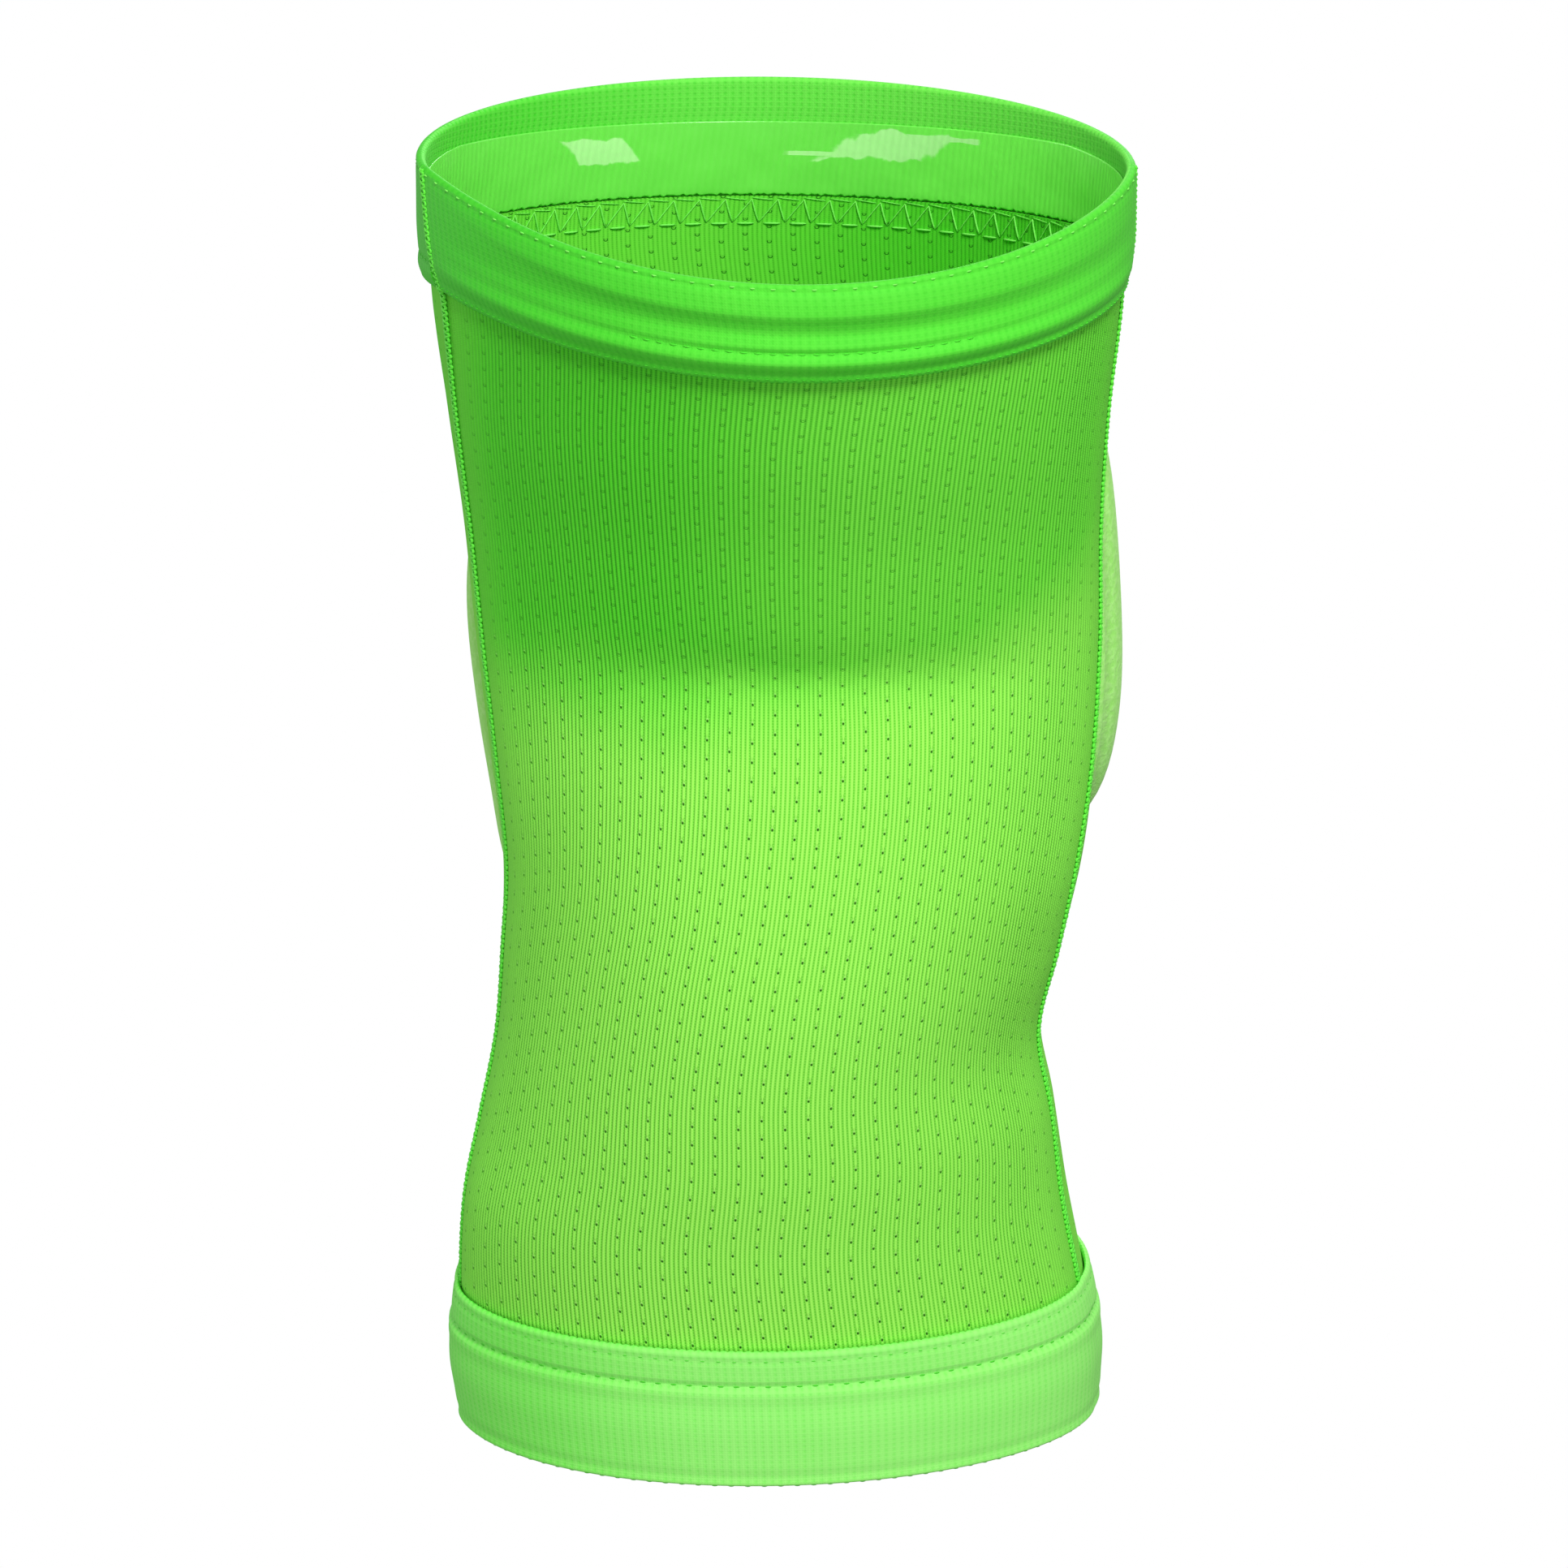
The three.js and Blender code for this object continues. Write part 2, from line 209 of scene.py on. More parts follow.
def onSleeve(half, share, height, offset):
    # A point offset from the knit's middle layer along its level normal, pressed in at the crease
    share, height, offset = np.broadcast_arrays(share, height, offset)
    end = seam["slit"] / girthAt(half, height)
    at = formAt(half, lerp(end, 1 - end, share), height)
    out = offset - pressedIn(half, share, height)
    z = height - sleeve["kneeHeight"]
    return np.stack([at[..., 0] + at[..., 3] * out, at[..., 1] - at[..., 2] * out, z], axis=-1) * mm


# Meshes

def addPiece(name, points, faces, materials, uv=None, faceMaterial=None, sharpFrom=None):
    # faces is a list of arrays, each with one number of corners; an edge past sharpFrom degrees shades sharp
    mesh = bpy.data.meshes.new(name)
    used = np.zeros(len(points), bool)
    for group in faces:
        used[group.ravel()] = True
    renumber = np.cumsum(used) - 1
    points = points[used]
    corners = np.concatenate([renumber[group].ravel() for group in faces])
    sizes = np.concatenate([np.full(len(group), group.shape[1]) for group in faces])
    mesh.vertices.add(len(points))
    mesh.vertices.foreach_set("co", points.astype(np.float32).ravel())
    mesh.loops.add(len(corners))
    mesh.loops.foreach_set("vertex_index", corners.astype(np.int32))
    mesh.polygons.add(len(sizes))
    mesh.polygons.foreach_set("loop_start", (np.cumsum(sizes) - sizes).astype(np.int32))
    mesh.polygons.foreach_set("loop_total", sizes.astype(np.int32))
    mesh.polygons.foreach_set("use_smooth", np.ones(len(sizes), bool))
    if faceMaterial is not None:
        mesh.polygons.foreach_set("material_index", faceMaterial.astype(np.int32))
    if uv is not None:
        layer = mesh.uv_layers.new(name="cloth")
        layer.data.foreach_set("uv", uv[used][corners].astype(np.float32).ravel())
    mesh.update(calc_edges=True)
    mesh.validate()
    if sharpFrom is not None:
        mesh.set_sharp_from_angle(angle=math.radians(sharpFrom))
    for material in materials:
        mesh.materials.append(material)
    piece = bpy.data.objects.new(name, mesh)
    bpy.context.scene.collection.objects.link(piece)
    return piece


def gridFaces(index):  # quads over a grid of point numbers, counter-clockwise seen from outside
    return np.stack([index[:-1, :-1], index[:-1, 1:], index[1:, 1:], index[1:, :-1]], axis=-1).reshape(-1, 4)


def tubeFaces(index):  # quads round closed rings of point numbers; the last two axes are rings and sides
    after = np.roll(index, -1, axis=-1)
    corners = [index[..., :-1, :], index[..., 1:, :], after[..., 1:, :], after[..., :-1, :]]
    return np.stack(corners, axis=-1).reshape(-1, 4)


def edgeFaces(outer, inner):  # the four edges that join an outer grid of points to an inner one
    return np.concatenate([
        np.stack([inner[0, :-1], inner[0, 1:], outer[0, 1:], outer[0, :-1]], axis=-1),
        np.stack([outer[-1, :-1], outer[-1, 1:], inner[-1, 1:], inner[-1, :-1]], axis=-1),
        np.stack([inner[:-1, 0], outer[:-1, 0], outer[1:, 0], inner[1:, 0]], axis=-1),
        np.stack([outer[:-1, -1], inner[:-1, -1], inner[1:, -1], outer[1:, -1]], axis=-1),
    ])


def wallPiece(name, half, share, height, outer, inner, narrowing, uv, materials):
    # Two faces, drawn together by the narrowing and joined at their edges. The inner takes the last material.
    middle = (outer + inner) / 2
    spread = (outer - inner) / 2 * narrowing
    outer = onSleeve(half, share, height, middle + spread)
    inner = onSleeve(half, share, height, middle - spread)
    rows, columns = outer.shape[:2]
    index = np.arange(rows * columns).reshape(rows, columns)
    inside = index + rows * columns
    outerFaces = gridFaces(index)
    innerFaces = gridFaces(inside)[:, ::-1]
    edges = edgeFaces(index, inside)
    points = np.concatenate([outer.reshape(-1, 3), inner.reshape(-1, 3)])
    uv = np.concatenate([uv.reshape(-1, 2), uv.reshape(-1, 2)])
    last = len(materials) - 1
    which = np.concatenate([np.zeros(len(outerFaces)), np.full(len(innerFaces), last), np.zeros(len(edges))])
    return addPiece(name, points, [np.concatenate([outerFaces, innerFaces, edges])], materials, uv, which)


stitchRun = np.linspace(0, 1, 7)[None, :]  # the way along one stitch
stitchArch = np.sin(pi * stitchRun)


def threadPiece(name, bundles, material):
    # Round threads: each bundle is (paths, radii), paths of shape (threads, steps, 3) in metres. Rings of
    # points stand square to the path, turned so that one axis lies level, out from the leg.
    sides = 6
    points = []
    faces = []
    caps = []
    first = 0
    turn = 2 * pi * np.arange(sides) / sides
    for paths, radii in bundles:
        threads, steps = paths.shape[:2]
        along = np.gradient(paths, axis=1)
        along /= np.linalg.norm(along, axis=2, keepdims=True)
        out = paths * (1, 1, 0)
        out = out / np.linalg.norm(out, axis=2, keepdims=True)
        side = np.cross(along, out)
        side /= np.linalg.norm(side, axis=2, keepdims=True)
        out = np.cross(side, along)
        ring = np.cos(turn)[:, None] * out[:, :, None] + np.sin(turn)[:, None] * side[:, :, None]
        radius = np.broadcast_to(radii, (threads, steps))[:, :, None, None]
        points.append((paths[:, :, None] + ring * radius).reshape(-1, 3))
        index = first + np.arange(threads * steps * sides).reshape(threads, steps, sides)
        faces.append(tubeFaces(index))
        caps.append(index[:, 0])
        caps.append(index[:, -1, ::-1])
        first += threads * steps * sides
    return addPiece(name, np.concatenate(points), [np.concatenate(faces), np.concatenate(caps)], [material])


# Materials

class Link:  # one output of a shader node; sums written with it add Math nodes
    def __init__(self, finish, socket):
        self.finish = finish
        self.socket = socket

    def __add__(self, other):
        return self.finish.math("ADD", self, other)

    def __sub__(self, other):
        return self.finish.math("SUBTRACT", self, other)

    def __mul__(self, other):
        return self.finish.math("MULTIPLY", self, other)

    def __truediv__(self, other):
        return self.finish.math("DIVIDE", self, other)

    def __pow__(self, other):
        return self.finish.math("POWER", self, other)

    def __rsub__(self, other):
        return self.finish.math("SUBTRACT", other, self)

    def __abs__(self):
        return self.finish.math("ABSOLUTE", self)

    __radd__ = __add__
    __rmul__ = __mul__


class Finish:  # one material and its nodes
    def __init__(self, name, **constants):
        self.material = bpy.data.materials.new(name)
        self.material.use_nodes = True
        self.tree = self.material.node_tree
        self.shader = self.tree.nodes["Principled BSDF"]
        for socket, value in constants.items():
            self.shader.inputs[socket.replace("_", " ")].default_value = value

    def put(self, socket, value):
        if isinstance(value, Link):
            self.tree.links.new(value.socket, socket)
        else:
            socket.default_value = value

    def node(self, kind, settings, sockets, output=0):
        made = self.tree.nodes.new("ShaderNode" + kind)
        for setting, value in settings.items():
            setattr(made, setting, value)
        for socket, value in sockets.items():
            self.put(made.inputs[socket], value)
        return Link(self, made.outputs[output])

    def math(self, operation, *values):
        return self.node("Math", {"operation": operation}, dict(enumerate(values)))

    def wave(self, phase):  # 1 where phase is a whole number, 0 halfway between
        return 0.5 + 0.5 * self.math("COSINE", phase * (2 * pi))

    def rise(self, value, low, high):  # 0 below low, 1 above high
        return self.node("MapRange", {"interpolation_type": "SMOOTHSTEP"},
                         {"Value": value, "From Min": low, "From Max": high})

    def noise(self, place, scale, detail=2.0):
        return self.node("TexNoise", {}, {"Vector": place, "Scale": scale, "Detail": detail})

    def mix(self, share, first, second):
        return self.node("Mix", {"data_type": "RGBA"}, {0: share, 6: first, 7: second}, output=2)

    def axis(self, place, number):
        return self.node("SeparateXYZ", {}, {0: place}, output=number)

    def clothPlace(self):  # the piece's own cloth coordinates, across and along
        place = self.node("UVMap", {"uv_map": "cloth"}, {})
        return self.axis(place, 0), self.axis(place, 1)

    def objectPlace(self):
        return self.node("TexCoord", {}, {}, output=3)

    def finish(self, colour, height, depth, roughness=None):  # depth: the full relief in millimetres
        self.put(self.shader.inputs["Base Color"], colour)
        if roughness is not None:
            self.put(self.shader.inputs["Roughness"], roughness)
        bump = self.node("Bump", {}, {"Height": height, "Distance": depth * mm, "Strength": 1.0})
        self.put(self.shader.inputs["Normal"], bump)
        return self.material


def srgb(red, green, blue):  # a colour read off as 0 to 255
    values = [v / 255 for v in (red, green, blue)]
    return tuple(v / 12.92 if v < 0.04045 else ((v + 0.055) / 1.055) ** 2.4 for v in values) + (1.0,)


knit = {
    "columns": {"back": 33, "front": 45},  # columns of pin holes across each half
    "rows": 59,
    "ribs": 5,  # to a column of holes
    "loops": 7,  # knitted loops to a row of holes
    "bunching": 0.16,  # the rows of holes stand closer at the top by this share, and wider at the bottom
    "holeAcross": 0.036,  # half the hole's width, as a share of its column
    "holeAlong": 0.05,
    "dimple": 2.2,  # where the hollow round a hole begins, in hole sizes
    "sink": 0.08,
    "thighHole": 0.55,  # how open the holes are on the thigh, against the calf
    "thighFrom": (0.58, 0.72),  # shares of the way up over which they close
    "sideHole": 0.35,  # how open they are beside a seam
    "openFrom": (0.5, 4.0),  # columns in from a seam over which they open
    "ribsFrom": (0.4, 4.2),  # and over which the ribs come up
    "marksFrom": (0.4, 1.8),  # and the marks at the holes
    "hooksFrom": (0.61, 0.67),  # shares of the way up over which the marks become hooks
    "sharpFrom": 12,  # degrees
    "outside": {"hook": 0.5, "core": 0.75, "grooves": 1.0, "relief": 0.17},  # how strongly each mark shows
    "inside": {"hook": 0.95, "core": 0.6, "grooves": 0.75, "relief": 0.06},
}


# Ridge and groove colours for slack, shaded knit and for stretched, lit knit: the light and shade in them are
# painted
knitColours = {
    "slackShadedRidge": srgb(80, 213, 40),
    "slackShadedGroove": srgb(38, 158, 18),
    "stretchedLitRidge": srgb(158, 244, 92),
    "stretchedLitGroove": srgb(84, 200, 32),
    "fuzz": srgb(180, 245, 130),
    "seamSheen": srgb(112, 205, 66),
    "markAndHoleShade": srgb(32, 118, 16),
    "speck": srgb(178, 248, 128),
}


def knitFinish(half, inside=False):
    # Ribs with dotted grooves and knitted loops along them. Below the knee each hole has a dark core, painted
    # shade where it looks into the shaded inside, with a pale thread above it, and on the thigh, where the
    # cloth is slack, it closes to a small hook.
    across = knit["columns"][half]
    strength = knit["inside" if inside else "outside"]
    make = Finish(half + ("_knit_inside" if inside else "_rib_knit"), Roughness=0.85, Specular_IOR_Level=0.1)
    u, v = make.clothPlace()
    share = u / across
    up = v / knit["rows"]
    inFromSide = across / 2 - abs(u - across / 2)
    clear = make.rise(inFromSide, *knit["ribsFrom"])
    marked = make.rise(inFromSide, *knit["marksFrom"])
    rib = u * knit["ribs"]
    groove = make.wave(rib) ** 2.2
    offRib = abs(make.math("FRACT", rib) - 0.5)
    loop = make.wave(v * knit["loops"] + offRib * 1.1)
    dots = make.wave(v * knit["loops"])
    odd = make.math("MODULO", make.math("FLOOR", u), 2.0)
    wide = abs(make.math("FRACT", u) - 0.5) * 8.0
    tall = (make.math("FRACT", v + odd * 0.5) - 0.5) * 6.2
    away = make.math("SQRT", wide * wide + tall * tall)
    onThigh = make.rise(up, *knit["hooksFrom"])
    core = (1 - make.rise(away, 0.3, 0.6)) * (1 - onThigh * 0.8)
    above = make.rise(tall, 0.3, 0.6) * (1 - make.rise(tall, 1.5, 2.2))
    pinch = above * (1 - make.rise(abs(wide - tall * 0.25), 0.08, 0.24))
    speck = (1 - make.rise(wide, 0.25, 0.5)) * make.rise(tall, 0.45, 0.65) * (1 - make.rise(tall, 0.8, 1.1))
    hook = (1 - make.rise(tall, 0.1, 0.5)) * (1 - make.rise(abs(away - 0.68), 0.1, 0.24))
    marks = (pinch * (1 - onThigh) * 0.35 + hook * (onThigh * strength["hook"] + 0.05)) * marked
    speck = speck * (1 - onThigh) * marked
    place = make.objectPlace()
    patch = make.noise(place, 38.0, 3.0)
    fuzz = make.noise(place, 900.0, 2.0)
    # Painted shade: the grooves between the ribs, dotted along them, are darker than the ridges
    shade = groove * (0.5 + 0.5 * dots) * (0.25 + 0.75 * clear)
    # Paler on the calf, and higher up towards the right, but less beside the seams: partly knit that is paler
    # where it is stretched, and partly painted light and shade, the thigh darker and the right side paler as
    # the light falls on them
    offMiddle = (share * 2 - 1) ** 2
    level = up - share * share * 0.15 + (patch - 0.5) * 0.08
    stretchAndLight = make.math("MAXIMUM", 1 - make.rise(level, 0.5, 0.68), make.rise(share, 0.28, 0.6) * 0.33)
    stretchAndLight = stretchAndLight * (1 - offMiddle * 0.45)
    ridge = make.mix(stretchAndLight, knitColours["slackShadedRidge"], knitColours["stretchedLitRidge"])
    grooveShade = make.mix(stretchAndLight, knitColours["slackShadedGroove"], knitColours["stretchedLitGroove"])
    colour = make.mix(shade * strength["grooves"], ridge, grooveShade)
    colour = make.mix(fuzz * 0.06, colour, knitColours["fuzz"])
    # Painted sheen: the knit is paler beside the seams
    colour = make.mix((1 - make.rise(inFromSide, 0.2, 3.2)) * 0.45, colour, knitColours["seamSheen"])
    # Painted shade: each hole's dark core below the knee, where it looks into the shaded inside; the hooks
    # and pinches are marks of the knit
    dark = make.math("MAXIMUM", marks, core * strength["core"] * marked)
    colour = make.mix(dark, colour, knitColours["markAndHoleShade"])
    colour = make.mix(speck * 0.5, colour, knitColours["speck"])
    relief = (1 - groove) * (0.2 + 0.8 * clear) + loop * 0.2
    relief = relief - marks * 0.35 - core * 0.5 + speck * 0.3 + fuzz * 0.12
    return make.finish(colour, relief, strength["relief"])


def elasticFinish(name, face, shadow, dotted, ribDepth, leftShadeAmount):
    # Ribs across the tape with rows of small dots between them, with painted shade between the ribs and
    # painted shade that makes it darker towards the left
    make = Finish(name, Roughness=0.7, Sheen_Weight=0.03, Sheen_Roughness=0.45,
                  Sheen_Tint=(0.6, 1.0, 0.45, 1.0), Specular_IOR_Level=0.18)
    u, v = make.clothPlace()
    rib = make.wave(u)
    row = make.wave(v / 1.15)
    dots = (1 - rib) ** 2.0 * row
    weave = make.wave(u * 3.0) * make.wave(v * 1.9)
    place = make.objectPlace()
    x = make.axis(place, 0)
    # Painted shade: darker towards the left of the piece
    leftShade = 1 - make.rise(x, -0.066, 0.0)
    patch = make.noise(place, 30.0, 3.0)
    fuzz = make.noise(place, 1100.0, 2.0)
    colour = make.mix(patch * 0.3 + (1 - rib) * 0.1 + dots * dotted + leftShade * leftShadeAmount, face, shadow)
    colour = make.mix(fuzz * 0.05, colour, srgb(175, 248, 135))
    height = rib * ribDepth - dots * dotted + weave * 0.22 + fuzz * 0.25
    return make.finish(colour, height, 0.12)


paintedHighlights = [
    # middle and half width in metres; level and half height in millimetres up the strip; lean
    (-0.0365, 0.0068, 10.3, 2.8, 0.8),
    (0.0235, 0.0115, 11.0, 3.3, -1.0),
    (0.034, 0.009, 13.3, 0.6, 0.0),
    (0.0115, 0.009, 8.9, 0.45, 0.0),
]


def siliconeFinish():
    # A glossy clear layer, with painted light that makes it brighter at the right, and pale in two ragged
    # painted highlights: one is the first row, and the other is made of the last three
    make = Finish("silicone_layer", Coat_Weight=0.35, Coat_Roughness=0.12, Specular_IOR_Level=0.4)
    u, v = make.clothPlace()
    place = make.objectPlace()
    x = make.axis(place, 0)
    ragged = make.noise(place, 160.0, 4.0) - 0.5
    wave = make.noise(place, 55.0, 2.0) - 0.5
    highlight = 0.0
    for middle, halfWidth, level, halfHeight, lean in paintedHighlights:
        off = abs(x - middle + (v - level) * lean * mm) / halfWidth
        up = abs(v - level) / halfHeight
        edge = make.math("MAXIMUM", off + wave * 0.9 + ragged * 0.7, up + ragged * 1.4 + wave * 0.3)
        highlight = make.math("MAXIMUM", highlight, 1 - make.rise(edge, 0.86, 1.0))
    rib = make.wave(u)
    body = make.mix(rib * 0.2 + make.noise(place, 60.0) * 0.3, srgb(120, 233, 86), srgb(104, 226, 70))
    # Painted light: the layer is brighter towards the right
    body = make.mix(make.rise(x, 0.015, 0.055), body, srgb(128, 252, 90))
    # Painted highlights: two ragged pale patches on the glossy layer
    colour = make.mix(highlight * 0.9, body, srgb(188, 252, 165))
    height = make.noise(place, 220.0, 2.0) + rib * 0.25
    return make.finish(colour, height, 0.18, 0.3 - highlight * 0.15)


def padFinish():
    # Short nap over fine felt, in softly varying shades
    make = Finish("pad_cover", Roughness=0.85, Sheen_Weight=0.15, Sheen_Roughness=0.5,
                  Sheen_Tint=(0.75, 1.0, 0.6, 1.0), Specular_IOR_Level=0.15)
    place = make.objectPlace()
    patch = make.noise(place, 45.0, 3.0)
    felt = make.noise(place, 1300.0, 3.0)
    nap = make.noise(place, 800.0, 3.0)
    pile = make.rise(nap, 0.35, 0.7)
    colour = make.mix(patch * 0.6, srgb(160, 230, 116), srgb(136, 216, 92))
    colour = make.mix(pile * 0.4, colour, srgb(190, 242, 154))
    return make.finish(colour, felt * 0.5 + pile * 0.5, 0.16)


def threadFinish(name, face, shadow):
    # Twisted strands, with longer patches of shade
    make = Finish(name, Roughness=0.65, Specular_IOR_Level=0.2)
    place = make.objectPlace()
    strand = make.noise(place, 1500.0, 2.0)
    patch = make.noise(place, 300.0, 2.0)
    colour = make.mix(strand * 0.6 + patch * 0.3, face, shadow)
    return make.finish(colour, strand, 0.12)


finishes = {
    "backKnit": knitFinish("back"),
    "frontKnit": knitFinish("front"),
    "backKnitInside": knitFinish("back", inside=True),
    "frontKnitInside": knitFinish("front", inside=True),
    # The three elastics are one tape: painted shade makes the thigh band's outside darker, and painted light
    # makes the calf band and the inner faces paler
    "thighElastic": elasticFinish("thigh_elastic", srgb(82, 212, 50), srgb(38, 182, 18), 0.22, 0.1, 0.32),
    "insideElastic": elasticFinish("inside_elastic", srgb(120, 233, 84), srgb(60, 206, 34), 0.35, 0.25, 0.4),
    "calfElastic": elasticFinish("calf_elastic", srgb(158, 242, 124), srgb(84, 226, 50), 0.2, 0.15, 0.36),
    "silicone": siliconeFinish(),
    "pad": padFinish(),
    "seamThread": threadFinish("seam_thread", srgb(114, 236, 74), srgb(76, 212, 50)),
    "seamTape": threadFinish("seam_tape", srgb(112, 216, 66), srgb(84, 196, 46)),
    "paleThread": threadFinish("pale_thread", srgb(140, 240, 104), srgb(104, 224, 74)),
    "calfThread": threadFinish("calf_thread", srgb(88, 212, 54), srgb(66, 190, 38)),
    "darkThread": threadFinish("dark_thread", srgb(84, 214, 54), srgb(64, 194, 38)),
}
print("materials made")


# The knitted halves, with their pin holes cut through

def fabricHeight(half, s, t):  # the height at shares of the way across and up the cloth
    low = levelHeight("bottomFoot", half, s) - calfBand["lap"]
    high = levelHeight("topFoot", half, s) + thighBand["lap"]
    return lerp(low, high, t + knit["bunching"] * t * (1 - t))


def knitPiece(half):
    # Half columns and half rows of cloth make a grid. A hole sits on every second crossing, and its crossing
    # gives way to rings of eight points: the hollow's edge and the hole's edge, and the hole's edge again on
    # the inside.
    columns = knit["columns"][half]
    rows = knit["rows"]
    s, t = np.meshgrid(np.arange(2 * columns + 1) / (2 * columns), np.arange(2 * rows + 1) / (2 * rows))
    index = np.arange(s.size).reshape(s.shape)
    j, i = np.meshgrid(np.arange(1, 2 * rows), np.arange(1, 2 * columns, 2), indexing="ij")
    isHole = (j + (i - 1) // 2) % 2 == 1
    j = j[isHole]
    i = i[isHole]
    steps = [(-1, -1), (-1, 0), (-1, 1), (0, 1), (1, 1), (1, 0), (1, -1), (0, -1)]
    around = np.stack([index[j + dj, i + di] for dj, di in steps], axis=1)
    angle = np.array([math.atan2(dj, di) for dj, di in steps])
    middleS = s[j, i][:, None]
    middleT = t[j, i][:, None]
    fromSide = np.minimum(middleS, 1 - middleS) * columns
    thigh = lerp(1, knit["thighHole"], smooth(middleT, *knit["thighFrom"]))
    size = thigh * lerp(knit["sideHole"], 1, smooth(fromSide, *knit["openFrom"]))
    acrossStep = knit["holeAcross"] * size * np.cos(angle) / columns
    alongStep = knit["holeAlong"] * size * np.sin(angle) / rows

    plain = ~np.isin(index, index[j, i])
    keep = (plain[:-1, :-1] & plain[:-1, 1:] & plain[1:, 1:] & plain[1:, :-1]).ravel()
    quads = gridFaces(index)[keep]
    holes = len(j)
    ring = np.arange(holes * 8).reshape(holes, 8)
    base = s.size
    hollow = base + ring
    mouth = hollow + holes * 8
    inside = mouth.max() + 1  # the inner face's grid follows
    innerMouth = inside + base + ring

    def band(first, second):  # quads from each ring of eight to the next one
        corners = [first, np.roll(first, -1, 1), np.roll(second, -1, 1), second]
        return np.stack(corners, axis=-1).reshape(-1, 4)

    groups = [
        quads,
        band(around, hollow),
        band(innerMouth, around + inside),
        quads[:, ::-1] + inside,
        band(hollow, mouth),
        band(mouth, innerMouth),
        edgeFaces(index, index + inside),
    ]
    faces = np.concatenate(groups)
    dimple = knit["dimple"]
    parts = [
        (s, t, knitFace),
        (middleS + acrossStep * dimple, middleT + alongStep * dimple, knitFace),
        (middleS + acrossStep, middleT + alongStep, knitFace - knit["sink"] * size),
        (s, t, -knitFace),
        (middleS + acrossStep, middleT + alongStep, -knitFace),
    ]
    points = []
    uv = []
    for partS, partT, offset in parts:
        points.append(onSleeve(half, partS, fabricHeight(half, partS, partT), offset).reshape(-1, 3))
        uv.append(np.stack([partS * columns, partT * rows], axis=-1).reshape(-1, 2))
    within = (faces.min(axis=1) >= inside).astype(int)
    materials = [finishes[half + "Knit"], finishes[half + "KnitInside"]]
    return addPiece(half + "_knit", np.concatenate(points), [faces], materials, np.concatenate(uv), within,
                    sharpFrom=knit["sharpFrom"])


# The elastic bands

thighFolds = {
    # at: share of the band's height above its foot; out: millimetres; reach: share of the height; spread: the
    # power of the sine that fades it to the seams; sweep: how far it climbs towards the left seam
    "body": [
        {"at": 0.2, "out": 1.9, "reach": 0.13, "spread": 0.8},
        {"at": 0.4, "out": 0.66, "reach": 0.07, "spread": 1.0},
        {"at": 0.75, "out": 1.42, "reach": 0.2, "spread": 1.0},
    ],
    "surface": [
        {"at": 0.085, "out": -0.5, "reach": 0.035, "spread": 0.5},
        {"at": 0.215, "out": 0.3, "reach": 0.055, "spread": 0.6},
        {"at": 0.305, "out": -0.28, "reach": 0.022, "spread": 5.0},
        {"at": 0.36, "out": 0.3, "reach": 0.03, "spread": 4.0, "sweep": 0.02},
        {"at": 0.52, "out": -0.15, "reach": 0.09, "spread": 0.7, "sweep": 0.3},
        {"at": 0.68, "out": 0.3, "reach": 0.06, "spread": 1.5, "sweep": 0.2},
        {"at": 0.93, "out": -0.3, "reach": 0.03, "spread": 0.5},
    ],
}

thighFront = {"tall": 31, "lowHem": 6.3, "highHem": 29}  # millimetres above the band's foot

calfFolds = [  # at is millimetres below the band's top edge
    {"at": 1.9, "out": -0.22, "reach": 0.45},
    {"at": 7.6, "out": -0.75, "reach": 0.55},
    {"at": 9.6, "out": 0.3, "reach": 1.6},
    {"at": 17.0, "out": 0.55, "reach": 6.0},
    {"at": 28.0, "out": -0.35, "reach": 1.5},
]


def foldSum(folds, share, up):
    total = 0
    for fold in folds:
        climb = fold.get("sweep", 0) * (2 * np.clip(0.5 - share, 0, 1)) ** 2
        lift = fold["out"] * bell(up - fold["at"] - climb, 0, fold["reach"])
        total = total + lift * np.sin(pi * share) ** fold["spread"]
    return total


def sideThin(band, share, taper):  # how far a band's face sinks beside the seams, at a share of its taper
    return band["sideTaper"] * np.clip(1 - taper, 0, 1) ** 2 * (1 - np.sin(pi * share)) ** 2


def flatBody(half, share, up):
    return 0 * share * up


def thighBody(half, share, up):
    return foldSum(thighFolds["body"], share, up) if half == "back" else flatBody(half, share, up)


def thighSurface(half, share, up):
    # The folds, and at the sides a foot that thins towards the knit
    thinned = -sideThin(thighBand, share, up / thighBand["taperShare"])
    if half == "back":
        return thinned + foldSum(thighFolds["body"], share, up) + foldSum(thighFolds["surface"], share, up)
    tall = thighFront["tall"] * up
    hem = -0.4 * bell(tall, thighFront["lowHem"], 0.5) - 0.3 * bell(tall, thighFront["highHem"], 0.6)
    soft = 0.5 * bell(up, 0.1, 0.08) + 0.5 * np.sin(pi * up) * np.sin(pi * share)
    return thinned + hem + soft


def calfSurface(half, share, up):
    below = calfTall * (1 - up)
    total = sum(fold["out"] * bell(below, fold["at"], fold["reach"]) for fold in calfFolds)
    return total - sideThin(calfBand, share, below / calfBand["taperTall"])


def rimRows(straight, radius):
    # Rows up a wall with rounded edges: each row's height is a + b times the wall's, and its thickness f
    angle = np.radians([80, 60, 40, 20])
    w = np.linspace(0, 1, straight)
    low = radius * (1 - np.sin(angle))
    a = np.concatenate([low, radius * (1 - 2 * w), -low[::-1]])
    b = np.concatenate([0 * angle, w, 0 * angle + 1])
    f = np.concatenate([np.cos(angle), 0 * w + 1, np.cos(angle[::-1])])
    return a[:, None], b[:, None], f[:, None]


ribPoints = 4
toothDepth = 0.28


